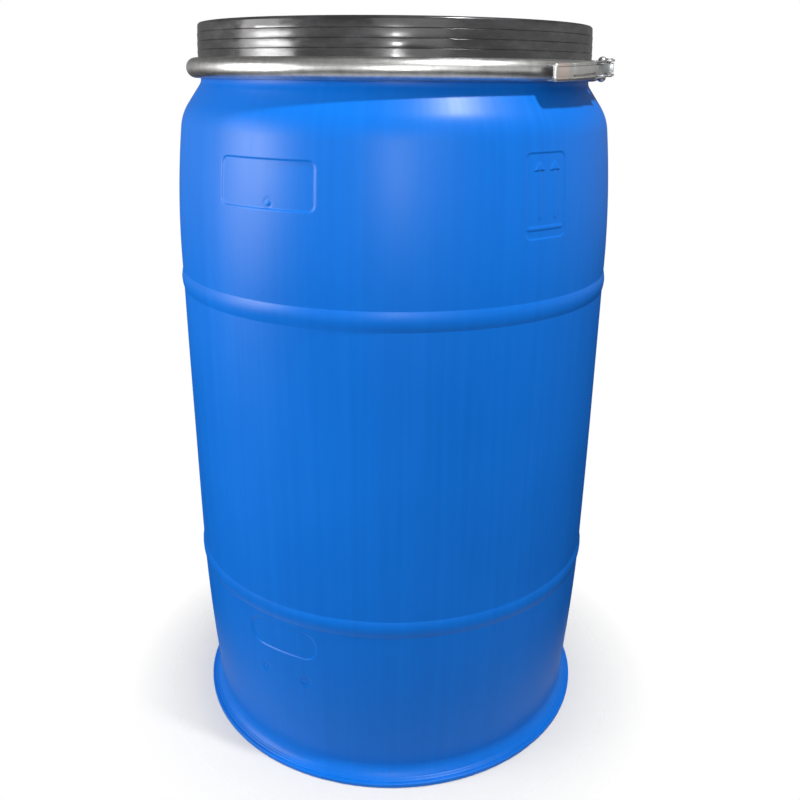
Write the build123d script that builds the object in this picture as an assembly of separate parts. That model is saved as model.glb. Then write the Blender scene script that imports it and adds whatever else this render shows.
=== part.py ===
from build123d import *
from math import cos, radians, sin, sqrt
import os

# Open head drum in blow-moulded plastic: body, loose lid with gasket, and a sprung
# steel clamp ring with an over-centre lever.
# Origin: centre of the foot on the floor. +Z up, front of the drum faces -Y.
# Places round the drum are bearings in degrees: 0 is the front (-Y), 90 is +X.
# All lengths are in millimetres.

# ---- outside of the drum body ----
WALL = 4.5
FOOT_R = 293.5              # outside of the foot flange
FOOT_BEVEL = 2.0
FOOT_EDGE_Z = 6.0           # top of the foot flange's upright edge
FOOT_INNER_R = 262.0        # inside of the foot ring, which drops round a lid below
FLARE_MID = (281.5, 13.5)   # a point on the hollow flare above the foot flange
WAIST_R = 276.9             # just above the foot flare
WAIST_Z = 26.0
LOW_BULGE_R = 285.1
LOW_BULGE_Z = 130.5
LOW_HOOP_Z = (241.9, 265.9)
MID_R = 290.1
HIGH_HOOP_Z = (646.7, 670.5)
HOOP_R = 291.4
HOOP_ROOT_R = MID_R - 0.6
HOOP_BEVEL = 1.4
HIGH_BULGE_R = 287.3
HIGH_BULGE_Z = 759.0
SHOULDER_R = 278.5
SHOULDER_Z = 848.9
SHOULDER_MID = (274.0, 867.0)
CONE_R = 268.5              # where the rounded shoulder turns into the cone
CONE_Z = 877.3
NECK_R = 249.6
NECK_Z = 903.9
NECK_INNER_R = 244.6

# ---- inside of the drum body, where it isn't the outside less the wall ----
INNER_CONE = (CONE_R - WALL - 0.6, CONE_Z - 1.5)
INNER_SHOULDER_MID = (269.2, 865.0)
INNER_WAIST_Z = 40.0
CORNER_MID = (267.5, 25.5)  # rounded corner between wall and floor
FLOOR_EDGE = (252.0, 20.5)
CROWN_R = 130.0             # a point half way out on the crowned floor
FLOOR_TOP_Z = (25.0, 26.5)  # the floor's upper side, at CROWN_R and on the axis
UNDERSIDE_Z = (20.0, 21.5)
RECESS_R = 257.0
RECESS_Z = 14.0             # how far the underside is pushed up inside the foot ring
RECESS_SLOPE = (5.0, 1.0)
RECESS_LEAD = 2.0

# ---- clamp ring: a half-round channel that hooks over both flanges ----
BAND_Z = 920.7              # mid height of the ring
BAND_ROUND_R = 254.8        # centre of the half-round section
BAND_SECTION_R = 11.9
BAND_SHEET = 1.3
LIP_R = 253.2               # bore of the ring's two lips
BAND_OUTER_R = BAND_ROUND_R + BAND_SECTION_R

# ---- flanges that the ring clamps ----
FLANGE_R = 258.0
FLANGE_EDGE = 2.0           # chamfer that lets the flange into the round channel
LIP_PLAY = 0.6
NECK_FLANGE_Z = BAND_Z - BAND_SECTION_R + BAND_SHEET + LIP_PLAY
NECK_FLANGE_H = 6.0
RIM_Z = 919.7               # sealing edge of the mouth
LID_FLANGE_Z = 917.9
LID_FLANGE_TOP = BAND_Z + BAND_SECTION_R - BAND_SHEET - LIP_PLAY
LID_FLANGE_SOFT = 1.0

# ---- lid ----
LID_TOP = 972.4
LID_WALL = 4.5
SKIRT_R = 251.5             # lowest and widest step of the upstanding wall
SKIRT_STEPS = ((940.5, 251.1), (950.2, 250.7), (960.2, 250.3))
SKIRT_TOP_R = 250.3
BEAD_Z = 966.0              # above this height the wall thickens inward to the rim
BEAD_SLOPE = 4.0
RIM_INNER_R = 243.0
RIM_ROUND = 4.0
RIM_INNER_BEVEL = 1.0
PANEL_Z = 930.7             # underside of the lid panel
PANEL_T = 4.0
PANEL_CORNER = 4.0          # slope between the panel and the upstanding wall
RAISED_R = 150.0            # raised middle of the panel
RAISED_H = 6.0
RAISED_SLOPE = 8.0
PLUG_R = 243.7              # wall that drops into the neck
PLUG_T = 4.0
PLUG_Z = 902.5
PLUG_LEAD = (1.0, 4.0)      # taper at the plug's lower edge: inward, and up
GUSSETS = 12
GUSSET_T = 4.0
GUSSET_R = 204.0
GUSSET_TOP = 961.0
RIB_INNER_R = 40.0          # low ribs on the raised middle
RIB_H = 2.0
HUB_R = 42.0
HUB_H = 3.0
OVERLAP = 1.0               # how far ribs, gussets and hub run into the panel and wall

# ---- gasket ----
GASKET_R = (244.2, 252.4)
GROOVE_R = 252.9
GASKET_Z = (RIM_Z + 0.3, 926.2)
GASKET_ROUND = 1.8

# ---- ring layout ----
GAP_BEARINGS = (67.3, 70.3)  # the two ends of the ring
BACK_BEARING = sum(GAP_BEARINGS) / 2 + 180
BACK_HALF = 30.0            # the unmoving back stretch runs this far each side
HINGE_GAP = 0.6             # slit between the stretches of the ring

# ---- lever latch, laid out flat, then tilted a little as it sits on the ring ----
LATCH_Z = 922.9
LATCH_TILT = 2.2
SADDLE_R = (262.0, 268.6)
EAR_T = 1.8
PIN_PLAY = 0.07             # running clearance round the pins
LINK_PIN_R = 3.0            # link pin and anchor pin

PIVOT_BEARING = 62.6
PIVOT_R = 274.0
PIVOT_PIN_R = 2.5
PIVOT_BOSS_R = 5.4          # round end of the ears about the pivot
PIVOT_HEAD = (5.3, 4.2)     # domed head: radius and height
HEAD_SINK = 0.3
LEVER_EAR_HALF = 7.6        # half height over the lever bracket's ears
LEVER_SADDLE_START = PIVOT_BEARING - 3.4
LEVER_EAR_FOOT = (11.5, 7.5)  # foot of the ear: half width, and distance in from the pivot

LEVER_R = (269.5, 280.0)
LEVER_HALF = 9.6
LEVER_SHEET = 1.7
LEVER_CORNER = 3.2
TIP_BEARING = 38.0
WEB_END_BEARING = 54.8
EAR_STEP = 1.6              # the lever's ears are this much shallower than its channel
EAR_LAP = 0.5               # degrees that ears and channel share

LINK_BEARING = 57.366       # link pin, 25 mm from the lever pivot
LINK_R = 272.4
LINK_HALF = 5.5
LINK_EYE_R = 5.0
STRAP_R = (270.6, 274.8)
STRAP_END = 1.2             # degrees short of the anchor pin
HOOK_R = (270.6, 279.2)
HOOK_SPAN = (-1.9, 2.0)     # degrees each side of the anchor pin
SLOT_R = (270.0, 276.5)
SLOT_SPAN = (-0.75, 1.4)
MOUTH_R = (270.0, 272.2)
MOUTH_SPAN = (0.0, 3.0)
LINK_PIN_HEAD = (4.6, 1.0)

ANCHOR_BEARING = 75.0
ANCHOR_R = 273.0
ANCHOR_HALF = 9.2
ANCHOR_EAR_R = 266.0
ANCHOR_EARS = (71.4, 79.2)
ANCHOR_SADDLE = (GAP_BEARINGS[1] + 0.4, 80.0)
ANCHOR_EAR_ROUND = 5.0
ANCHOR_PIN_HEAD = (5.0, 1.5)


def place(bearing, radius, z=0.0):
    """Point at a bearing and radius round the drum's axis."""
    angle = radians(bearing - 90)
    return Vector(radius * cos(angle), radius * sin(angle), z)


def ring_part(section, start, end):
    """Sweep a section in the XZ plane round the axis between two bearings."""
    swept = revolve(section, axis=Axis.Z, revolution_arc=end - start)
    return Rot(0, 0, start - 90) * swept


def sector(radii, heights, start, end):
    """Curved plate between two radii, two heights and two bearings."""
    inner, outer = radii
    low, high = heights
    corners = Polyline((inner, low), (outer, low), (outer, high), (inner, high), close=True)
    return ring_part(make_face(Plane.XZ * corners), start, end)


def upright(bearing, radius, pin_r, low, high):
    """Upright cylinder at a bearing and radius, between two heights."""
    cylinder = Cylinder(pin_r, high - low, align=(Align.CENTER, Align.CENTER, Align.MIN))
    return Pos(place(bearing, radius, low)) * cylinder


def domed_head(bearing, radius, head, low):
    """Rivet head: a shallow dome standing on the height low."""
    head_r, height = head
    ball_r = (head_r**2 + height**2) / (2 * height)
    ball = Pos(place(bearing, radius, low + height - ball_r)) * Sphere(ball_r)
    return ball & upright(bearing, radius, head_r, low, low + height)


def mirrored(shape):
    """A shape and its mirror image below the latch's middle plane."""
    return shape + mirror(shape, Plane.XY)


def on_latch(shape):
    """Lift a flat latch piece to its height and tilt it about the pivot's radius."""
    outward = Axis((0, 0, 0), place(PIVOT_BEARING, 1.0))
    return Pos(0, 0, LATCH_Z) * shape.rotate(outward, LATCH_TILT)


def hoop(low, high):
    """Outline of one hoop, standing proud of the barrel with bevelled edges."""
    return Polyline(
        (HOOP_ROOT_R, low),
        (HOOP_R, low + HOOP_BEVEL),
        (HOOP_R, high - HOOP_BEVEL),
        (HOOP_ROOT_R, high),
    )


def drum_outside():
    """Outer outline, from the foot ring's inner edge up to the neck."""
    low_z, low_top = LOW_HOOP_Z
    high_z, high_top = HIGH_HOOP_Z
    return [
        Line((FOOT_INNER_R, 0), (FOOT_R - FOOT_BEVEL, 0)),
        Line((FOOT_R - FOOT_BEVEL, 0), (FOOT_R, FOOT_BEVEL)),
        Line((FOOT_R, FOOT_BEVEL), (FOOT_R, FOOT_EDGE_Z)),
        ThreePointArc((FOOT_R, FOOT_EDGE_Z), FLARE_MID, (WAIST_R, WAIST_Z)),
        Spline((WAIST_R, WAIST_Z), (LOW_BULGE_R, LOW_BULGE_Z), (HOOP_ROOT_R, low_z)),
        hoop(low_z, low_top),
        Spline((HOOP_ROOT_R, low_top), (MID_R, (low_top + high_z) / 2), (HOOP_ROOT_R, high_z)),
        hoop(high_z, high_top),
        Spline((HOOP_ROOT_R, high_top), (HIGH_BULGE_R, HIGH_BULGE_Z), (SHOULDER_R, SHOULDER_Z)),
        ThreePointArc((SHOULDER_R, SHOULDER_Z), SHOULDER_MID, (CONE_R, CONE_Z)),
        Line((CONE_R, CONE_Z), (NECK_R, NECK_Z)),
    ]


def drum_mouth():
    """Outline over the neck's flange and sealing edge, and down to the inner shoulder."""
    low = NECK_FLANGE_Z
    high = low + NECK_FLANGE_H
    return Polyline(
        (NECK_R, NECK_Z),
        (NECK_R, low),
        (FLANGE_R - FLANGE_EDGE, low),
        (FLANGE_R, low + FLANGE_EDGE),
        (FLANGE_R, high),
        (NECK_R, high),
        (NECK_R, RIM_Z),
        (NECK_INNER_R, RIM_Z),
        (NECK_INNER_R, NECK_Z),
        INNER_CONE,
    )


def drum_inside():
    """Inner outline down the wall, over the floor, and back under it to the foot ring."""
    shoulder = (SHOULDER_R - WALL, SHOULDER_Z)
    straight_top = (HOOP_ROOT_R - WALL, HIGH_HOOP_Z[1])
    straight_low = (HOOP_ROOT_R - WALL, LOW_HOOP_Z[0])
    waist = (WAIST_R - WALL, INNER_WAIST_Z)
    recess_edge = (RECESS_R - RECESS_SLOPE[0], RECESS_Z + RECESS_SLOPE[1])
    crown_top, axis_top = FLOOR_TOP_Z
    crown_low, axis_low = UNDERSIDE_Z
    return [
        ThreePointArc(INNER_CONE, INNER_SHOULDER_MID, shoulder),
        Spline(shoulder, (HIGH_BULGE_R - WALL, HIGH_BULGE_Z), straight_top),
        Line(straight_top, straight_low),
        Spline(straight_low, (LOW_BULGE_R - WALL, LOW_BULGE_Z), waist),
        ThreePointArc(waist, CORNER_MID, FLOOR_EDGE),
        Spline(FLOOR_EDGE, (CROWN_R, crown_top), (0, axis_top)),
        Line((0, axis_top), (0, axis_low)),
        Spline((0, axis_low), (CROWN_R, crown_low), recess_edge),
        Polyline(recess_edge, (RECESS_R, RECESS_Z - RECESS_LEAD), (FOOT_INNER_R, 0)),
    ]


def drum_body():
    """Whole moulding: foot, barrel with two hoops, shoulder, neck and mouth flange."""
    outline = Curve() + drum_outside() + [drum_mouth()] + drum_inside()
    return revolve(make_face(Plane.XZ * outline), axis=Axis.Z)


def lid_outline():
    """Section of the lid: plug, clamped flange, stepped wall, rim and raised panel."""
    lead_in, lead_up = PLUG_LEAD
    outside = [
        (PLUG_R - PLUG_T, PANEL_Z),
        (PLUG_R - PLUG_T, PLUG_Z),
        (PLUG_R - lead_in, PLUG_Z),
        (PLUG_R, PLUG_Z + lead_up),
        (PLUG_R, GASKET_Z[1]),
        (GROOVE_R, GASKET_Z[1]),
        (GROOVE_R, LID_FLANGE_Z),
        (FLANGE_R - LID_FLANGE_SOFT, LID_FLANGE_Z),
        (FLANGE_R, LID_FLANGE_Z + LID_FLANGE_SOFT),
        (FLANGE_R, LID_FLANGE_TOP - FLANGE_EDGE),
        (FLANGE_R - FLANGE_EDGE, LID_FLANGE_TOP),
        (SKIRT_R, LID_FLANGE_TOP),
    ]
    for step_z, step_r in SKIRT_STEPS:
        outside += [(outside[-1][0], step_z), (step_r, step_z)]
    outside.append((SKIRT_TOP_R, LID_TOP - RIM_ROUND))
    corner = RIM_ROUND * (1 - sqrt(0.5))
    crest = (SKIRT_TOP_R - RIM_ROUND, LID_TOP)
    rim = ThreePointArc(outside[-1], (SKIRT_TOP_R - corner, LID_TOP - corner), crest)
    panel_top = PANEL_Z + PANEL_T
    wall_inner = SKIRT_R - LID_WALL
    inside = Polyline(
        crest,
        (RIM_INNER_R + RIM_INNER_BEVEL, LID_TOP),
        (RIM_INNER_R, LID_TOP - RIM_INNER_BEVEL),
        (RIM_INNER_R, BEAD_Z),
        (wall_inner, BEAD_Z - BEAD_SLOPE),
        (wall_inner, panel_top + PANEL_CORNER),
        (wall_inner - PANEL_CORNER, panel_top),
        (RAISED_R + RAISED_SLOPE, panel_top),
        (RAISED_R, panel_top + RAISED_H),
        (0, panel_top + RAISED_H),
        (0, PANEL_Z + RAISED_H),
        (RAISED_R - 2, PANEL_Z + RAISED_H),
        (RAISED_R + RAISED_SLOPE - 2, PANEL_Z),
        (PLUG_R - PLUG_T, PANEL_Z),
    )
    return Curve() + [Polyline(*outside), rim, inside]


def lid():
    """Dished lid, with gussets up its wall, and ribs and a hub on its raised middle."""
    shell = revolve(make_face(Plane.XZ * lid_outline()), axis=Axis.Z)
    panel_top = PANEL_Z + PANEL_T
    raised_top = panel_top + RAISED_H
    wall_inner = SKIRT_R - LID_WALL
    gusset_outline = Polyline(
        (wall_inner + OVERLAP, panel_top - OVERLAP),
        (wall_inner + OVERLAP, GUSSET_TOP),
        (GUSSET_R, panel_top - OVERLAP),
        close=True,
    )
    gusset = extrude(make_face(Plane.XZ * gusset_outline), GUSSET_T / 2, both=True)
    rib = Box(RAISED_R - RIB_INNER_R, GUSSET_T, RIB_H + OVERLAP)
    rib = Pos((RAISED_R + RIB_INNER_R) / 2, 0, raised_top + (RIB_H - OVERLAP) / 2) * rib
    turns = [360 / GUSSETS * i for i in range(GUSSETS)]
    spokes = [Rot(0, 0, turn) * part for turn in turns for part in (gusset, rib)]
    hub = Cylinder(HUB_R, HUB_H + OVERLAP, align=(Align.CENTER, Align.CENTER, Align.MIN))
    return shell + spokes + Pos(0, 0, raised_top - OVERLAP) * hub


def lid_gasket():
    """Round-edged rubber ring between the lid's groove and the mouth's edge."""
    inner, outer = GASKET_R
    low, high = GASKET_Z
    section = RectangleRounded(outer - inner, high - low, GASKET_ROUND)
    section = Pos((inner + outer) / 2, (low + high) / 2) * section
    return revolve(Plane.XZ * section, axis=Axis.Z)


def band_section():
    """Half-round channel, open towards the drum, with a short lip at each edge."""
    outer = BAND_SECTION_R
    inner = BAND_SECTION_R - BAND_SHEET
    outlines = []
    for reach in (outer, inner):
        low = BAND_Z - reach
        high = BAND_Z + reach
        outlines += [
            Line((LIP_R, low), (BAND_ROUND_R, low)),
            ThreePointArc((BAND_ROUND_R, low), (BAND_ROUND_R + reach, BAND_Z), (BAND_ROUND_R, high)),
            Line((BAND_ROUND_R, high), (LIP_R, high)),
        ]
    for side in (-1, 1):
        edge = Line((LIP_R, BAND_Z + side * outer), (LIP_R, BAND_Z + side * inner))
        outlines.append(edge)
    return make_face(Plane.XZ * (Curve() + outlines))


def band_stretch(start, end):
    """Length of the clamp ring between two bearings."""
    return ring_part(band_section(), start, end)


def band_envelope():
    """Outside of the whole ring, filled, for shaping what is welded onto it."""
    return Pos(0, 0, BAND_Z) * Torus(BAND_ROUND_R, BAND_SECTION_R)


def lever_bracket():
    """Saddle welded to the ring's end, with two ears for the lever's pivot rivets."""
    half = LEVER_EAR_HALF
    saddle = sector(SADDLE_R, (-half, half), LEVER_SADDLE_START, GAP_BEARINGS[0] - 0.2)
    foot_half, foot_in = LEVER_EAR_FOOT
    pivot = place(PIVOT_BEARING, PIVOT_R)
    foot = place(PIVOT_BEARING, PIVOT_R - foot_in)
    along = place(PIVOT_BEARING + 90, 1.0)
    plan = Polyline(
        pivot - along * PIVOT_BOSS_R,
        pivot + along * PIVOT_BOSS_R,
        foot + along * foot_half,
        foot - along * foot_half,
        close=True,
    )
    ear = Pos(0, 0, half - EAR_T) * extrude(make_face(plan), EAR_T, dir=(0, 0, 1))
    ear += upright(PIVOT_BEARING, PIVOT_R, PIVOT_BOSS_R, half - EAR_T, half)
    ear -= upright(PIVOT_BEARING, PIVOT_R, PIVOT_PIN_R, 0, half + EAR_T)
    return on_latch(saddle + mirrored(ear)) - band_envelope()


def link_bracket():
    """Saddle on the ring's other end, with two tall ears that hold the anchor pin."""
    half = ANCHOR_HALF
    saddle = sector(SADDLE_R, (-half, half), *ANCHOR_SADDLE)
    ear = sector((ANCHOR_EAR_R, LEVER_R[1]), (half - EAR_T, half), *ANCHOR_EARS)
    outward = Axis((0, 0, 0), place(ANCHOR_BEARING, 1.0))
    corners = ear.edges().filter_by(Axis.Z).sort_by(outward)[-2:]
    ear = fillet(corners, ANCHOR_EAR_ROUND)
    ear -= upright(ANCHOR_BEARING, ANCHOR_R, LINK_PIN_R, 0, half + EAR_T)
    return on_latch(saddle + mirrored(ear)) - band_envelope()


def lever():
    """Curved channel handle, open towards the drum, with two flat ears at its pivot end."""
    depth = LEVER_R[1] - LEVER_R[0]
    centre = Pos(LEVER_R[0], 0)
    outer = centre * RectangleRounded(2 * depth, 2 * LEVER_HALF, LEVER_CORNER)
    inner = centre * RectangleRounded(
        2 * (depth - LEVER_SHEET),
        2 * (LEVER_HALF - LEVER_SHEET),
        LEVER_CORNER - LEVER_SHEET,
    )
    drum_side = Pos(LEVER_R[0] - depth / 2, 0) * Rectangle(depth, 3 * LEVER_HALF)
    channel = ring_part(Plane.XZ * (outer - inner - drum_side), TIP_BEARING, WEB_END_BEARING)
    flange = (LEVER_HALF - LEVER_SHEET, LEVER_HALF)
    ear_radii = (LEVER_R[0], LEVER_R[1] - EAR_STEP)
    ear = sector(ear_radii, flange, WEB_END_BEARING - EAR_LAP, PIVOT_BEARING)
    ear += upright(PIVOT_BEARING, PIVOT_R, PIVOT_BOSS_R, *flange)
    ear -= upright(PIVOT_BEARING, PIVOT_R, PIVOT_PIN_R + PIN_PLAY, 0, LEVER_HALF + EAR_T)
    ear -= upright(LINK_BEARING, LINK_R, LINK_PIN_R, 0, LEVER_HALF + EAR_T)
    return on_latch(channel + mirrored(ear))


def link():
    """Curved strap from the lever's link pin to an open hook round the anchor pin."""
    height = (-LINK_HALF, LINK_HALF)
    strap = sector(STRAP_R, height, LINK_BEARING, ANCHOR_BEARING - STRAP_END)
    strap += upright(LINK_BEARING, LINK_R, LINK_EYE_R, *height)
    strap -= upright(LINK_BEARING, LINK_R, LINK_PIN_R + PIN_PLAY, *height)
    hook, slot, mouth = (
        sector(radii, height, ANCHOR_BEARING + span[0], ANCHOR_BEARING + span[1])
        for radii, span in ((HOOK_R, HOOK_SPAN), (SLOT_R, SLOT_SPAN), (MOUTH_R, MOUTH_SPAN))
    )
    return on_latch(strap + (hook - slot - mouth))


def pivot_rivets():
    """Two short domed rivets: the lever turns on them, and the link passes between."""
    top = LEVER_HALF + HEAD_SINK
    rivet = upright(PIVOT_BEARING, PIVOT_R, PIVOT_PIN_R, LEVER_EAR_HALF - EAR_T, top + HEAD_SINK)
    rivet += domed_head(PIVOT_BEARING, PIVOT_R, PIVOT_HEAD, top)
    return on_latch(mirrored(rivet))


def headed_pin(bearing, radius, half, head):
    """Pin through both ears, with a flat head at each end."""
    head_r, head_t = head
    shank = upright(bearing, radius, LINK_PIN_R, -half, half)
    cap = upright(bearing, radius, head_r, half, half + head_t)
    return on_latch(shank + mirrored(cap))


back_start = BACK_BEARING - BACK_HALF
back_end = BACK_BEARING + BACK_HALF
half_slit = HINGE_GAP / 2 / radians(BAND_OUTER_R)
nodes = {
    "drum_body": drum_body(),
    "lid": lid(),
    "lid_gasket": lid_gasket(),
    "clamp_band_back": band_stretch(back_start + half_slit, back_end - half_slit),
    "clamp_band_lever_side": band_stretch(back_end - 360 + half_slit, GAP_BEARINGS[0]),
    "clamp_band_link_side": band_stretch(GAP_BEARINGS[1], back_start - half_slit),
    "lever_bracket": lever_bracket(),
    "link_bracket": link_bracket(),
    "lever": lever(),
    "link": link(),
    "pivot_rivets": pivot_rivets(),
    "link_pin": headed_pin(LINK_BEARING, LINK_R, LEVER_HALF, LINK_PIN_HEAD),
    "anchor_pin": headed_pin(ANCHOR_BEARING, ANCHOR_R, ANCHOR_HALF, ANCHOR_PIN_HEAD),
}

os.makedirs("parts", exist_ok=True)
for name, shape in nodes.items():
    export_step(shape, f"parts/{name}.step")
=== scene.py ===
import math

import bmesh
import bpy
import numpy as np
from mathutils import Matrix, Vector


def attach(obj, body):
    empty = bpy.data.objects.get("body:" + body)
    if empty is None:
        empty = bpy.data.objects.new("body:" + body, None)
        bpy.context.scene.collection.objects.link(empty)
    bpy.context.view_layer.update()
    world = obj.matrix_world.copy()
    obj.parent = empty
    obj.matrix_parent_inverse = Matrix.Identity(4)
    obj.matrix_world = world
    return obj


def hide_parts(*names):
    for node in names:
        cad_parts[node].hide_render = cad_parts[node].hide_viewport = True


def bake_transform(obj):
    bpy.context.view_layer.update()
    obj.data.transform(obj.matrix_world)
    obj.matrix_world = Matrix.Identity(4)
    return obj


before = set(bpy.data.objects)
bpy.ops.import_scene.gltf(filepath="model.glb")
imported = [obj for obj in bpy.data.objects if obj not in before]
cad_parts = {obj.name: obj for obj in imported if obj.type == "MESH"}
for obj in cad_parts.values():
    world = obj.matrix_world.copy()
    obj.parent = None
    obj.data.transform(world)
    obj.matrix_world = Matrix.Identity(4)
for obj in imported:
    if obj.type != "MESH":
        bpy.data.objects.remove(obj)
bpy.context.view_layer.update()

# Blue open head drum with a black lid and a galvanised clamp ring. Lengths are in
# millimetres until a mesh is made, and bearings are degrees from the front (-Y)
# towards +X.
MM = 0.001

# ---- drum body: outside radii at heights ----
FOOT_R = 293.5
FOOT_INNER_R = 262.0
FOOT_EDGE_Z = 6.0
FLARE_MID = (281.5, 13.5)
WAIST = (276.9, 26.0)
LOW_BULGE = (285.1, 130.5)
LOW_HOOP = (241.9, 265.9)
HIGH_HOOP = (646.7, 670.5)
HOOP_RISE = 2.0
BARREL_R = 290.1
HOOP_ROOT_R = 289.5
HIGH_BULGE = (287.3, 759.0)
SHOULDER = (278.5, 848.9)
SHOULDER_MID = (274.0, 867.0)
CONE = (268.5, 877.3)
NECK = (249.6, 903.9)
NECK_INNER_R = 244.6
FLANGE_R = 258.0
NECK_FLANGE = (910.7, 916.7)
RIM_Z = 919.7
WALL = 4.5
EDGE_BLUR = 2.2             # how softly the moulding turns its corners

# ---- marks moulded into the body: bearings and heights of their edges ----
LABEL = ((-43.7, -17.2), (774.5, 829.5), 9.0)
LABEL_PIP = (-29.2, 782.0)
ARROW_FRAME = ((30.7, 43.4), (742.0, 837.0), 8.0)
ARROW_BEARINGS = (34.8, 39.7)
ARROW_Z = (764.0, 829.0)
ARROW_BAR = ((30.9, 42.4), (751.5, 757.5))
PLATE = ((-41.5, -19.7), (189.0, 233.0), 21.0)
DIALS = ((-36.6, 152.8, 7.6), (-23.5, 152.5, 8.6))
MARK_R = 286.0
MARK_EDGE = 1.9             # width of the sloping edge round a mark
PARTING_BEARINGS = (-90.0, 90.0)

# ---- lid ----
LID_TOP = 972.4
PLUG_R = (239.7, 243.7)
PLUG_Z = 902.5
PANEL_Z = (930.7, 934.7)
LID_FLANGE = (917.9, 929.5)
GROOVE = (252.9, 926.2)
LID_STEPS = (940.6, 950.3, 960.3)
SKIRT_R = 251.6
STEP_IN = 0.45
RIM_BOTTOM_Z = 966.0
WALL_IN_R = 247.0
RIM_IN_R = 243.0
RAISED = (150.0, 158.0, 6.0)
SPOKES = 12
SPOKE_HALF = 2.0
GUSSET_R = 204.0
GUSSET_TOP = 961.0
RIB_R = (42.0, 149.6)
RIB_H = 2.0
HUB = (42.0, 3.0)

# ---- clamp ring and latch ----
BAND_Z = 920.7
BAND_ROUND_R = 254.8
BAND_SECTION_R = 11.9
BAND_SHEET = 1.3
BAND_LIP_R = 253.2
RING_ENDS = (67.3, 70.3)
BACK_BEARING = 248.8
HINGE_BEARINGS = (278.8, 218.8)
BLEND_REACH = 60.0
LATCH_Z = 922.9
LATCH_TILT = 2.2
PIVOT = (62.6, 274.0)
LEVER_TIP = 38.0
LEVER_WEB_END = 54.8
LEVER_R = (269.5, 280.0)
LEVER_HALF = 9.6
LEVER_SHEET = 1.7
EAR_R = 278.4
EAR_END = 5.4
WARM_BEARINGS = (38.9, 42.6)

# ---- how far the wall's marks rise or sink ----
FRAME_SUNK = 0.9
ARROW_HEAD_RISE = 1.3
ARROW_SHAFT_RISE = 0.6
ARROW_BAR_RISE = 0.8
PLATE_SUNK = 1.3
DIAL_SUNK = 1.1
DIAL_RISE = 0.8

# ---- camera ----
CAMERA_AT = (0.0, -1.21539, 0.91727)
CAMERA_DOWN = 20.70
CAMERA_YAW = 0.501
CAMERA_ROLL = 0.545
LENS = 38.99
SENSOR = 36.0

# ---- room, in metres and in units of a white wall's brightness ----
FLOOR_FADE = (0.235, 0.42)
SKY_LIGHT = 0.36
GROUND_LIGHT = 0.36
SKY_GLOSS = 0.26
HORIZON_GLOSS = 0.85
BEHIND_GLOSS = 0.25
GROUND_GLOSS = 0.03
UNDERFOOT_GLOSS = 0.75


# =============================================================== outlines and meshes
def polar(bearing, radius, height):
    """Points round the drum's axis, from bearings in degrees."""
    angle = np.radians(np.asarray(bearing, float) - 90)
    radius = np.asarray(radius, float)
    x, y, z = np.broadcast_arrays(radius * np.cos(angle), radius * np.sin(angle), height)
    return np.stack((x, y, z), -1)


def spread(*spans):
    """Values along joined spans, each given as (start, end, step)."""
    values = [spans[0][0]]
    for start, end, step in spans:
        count = max(1, round((end - start) / step))
        values += [start + (end - start) * (i + 1) / count for i in range(count)]
    return np.array(values)


def smooth_step(value, low, high):
    """0 below low, 1 above high, and smooth between."""
    t = np.clip((value - low) / (high - low), 0, 1)
    return t * t * (3 - 2 * t)


def arc_through(first, middle, last, count):
    """Points on the circle through three points, from the first to the last."""
    (ax, ay), (bx, by), (cx, cy) = first, middle, last
    d = 2 * (ax * (by - cy) + bx * (cy - ay) + cx * (ay - by))
    ux = ((ax**2 + ay**2) * (by - cy) + (bx**2 + by**2) * (cy - ay) + (cx**2 + cy**2) * (ay - by)) / d
    uy = ((ax**2 + ay**2) * (cx - bx) + (bx**2 + by**2) * (ax - cx) + (cx**2 + cy**2) * (bx - ax)) / d
    start, mid, end = (math.atan2(y - uy, x - ux) for x, y in (first, middle, last))
    turn = 2 * math.pi
    mid, end = (start + (a - start) % turn for a in (mid, end))
    if mid > end:
        end -= turn
    radius = math.hypot(ax - ux, ay - uy)
    angles = np.linspace(start, end, count)
    return np.stack((ux + radius * np.cos(angles), uy + radius * np.sin(angles)), -1)


def rounded(corners, steps=4, closed=False):
    """Outline through corners given as (r, z, corner radius), with the corners rounded."""
    points = []
    last = len(corners) - 1
    for i, (r, z, radius) in enumerate(corners):
        here = np.array((r, z), float)
        if radius == 0 or (not closed and i in (0, last)):
            points.append(here)
            continue
        before = np.array(corners[i - 1][:2], float) - here
        after = np.array(corners[(i + 1) % len(corners)][:2], float) - here
        reach_limit = 0.48 * min(np.linalg.norm(before), np.linalg.norm(after))
        before /= np.linalg.norm(before)
        after /= np.linalg.norm(after)
        half = 0.5 * math.acos(float(np.clip(before @ after, -1, 1)))
        reach = min(radius / math.tan(half), reach_limit)
        bend_r = reach * math.tan(half)
        middle = (before + after) / np.linalg.norm(before + after)
        centre = here + middle * bend_r / math.sin(half)
        for t in np.linspace(0, 1, steps + 1):
            side = (here + before * reach - centre) * (1 - t) + (here + after * reach - centre) * t
            points.append(centre + side / np.linalg.norm(side) * bend_r)
    return np.array(points)


def grid_faces(rows, columns, wrap_rows=False, wrap_columns=False):
    """Quads of a grid of points numbered row by row."""
    faces = []
    for i in range(rows if wrap_rows else rows - 1):
        for j in range(columns if wrap_columns else columns - 1):
            ni, nj = (i + 1) % rows, (j + 1) % columns
            faces.append((i * columns + j, i * columns + nj, ni * columns + nj, ni * columns + j))
    return faces


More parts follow.
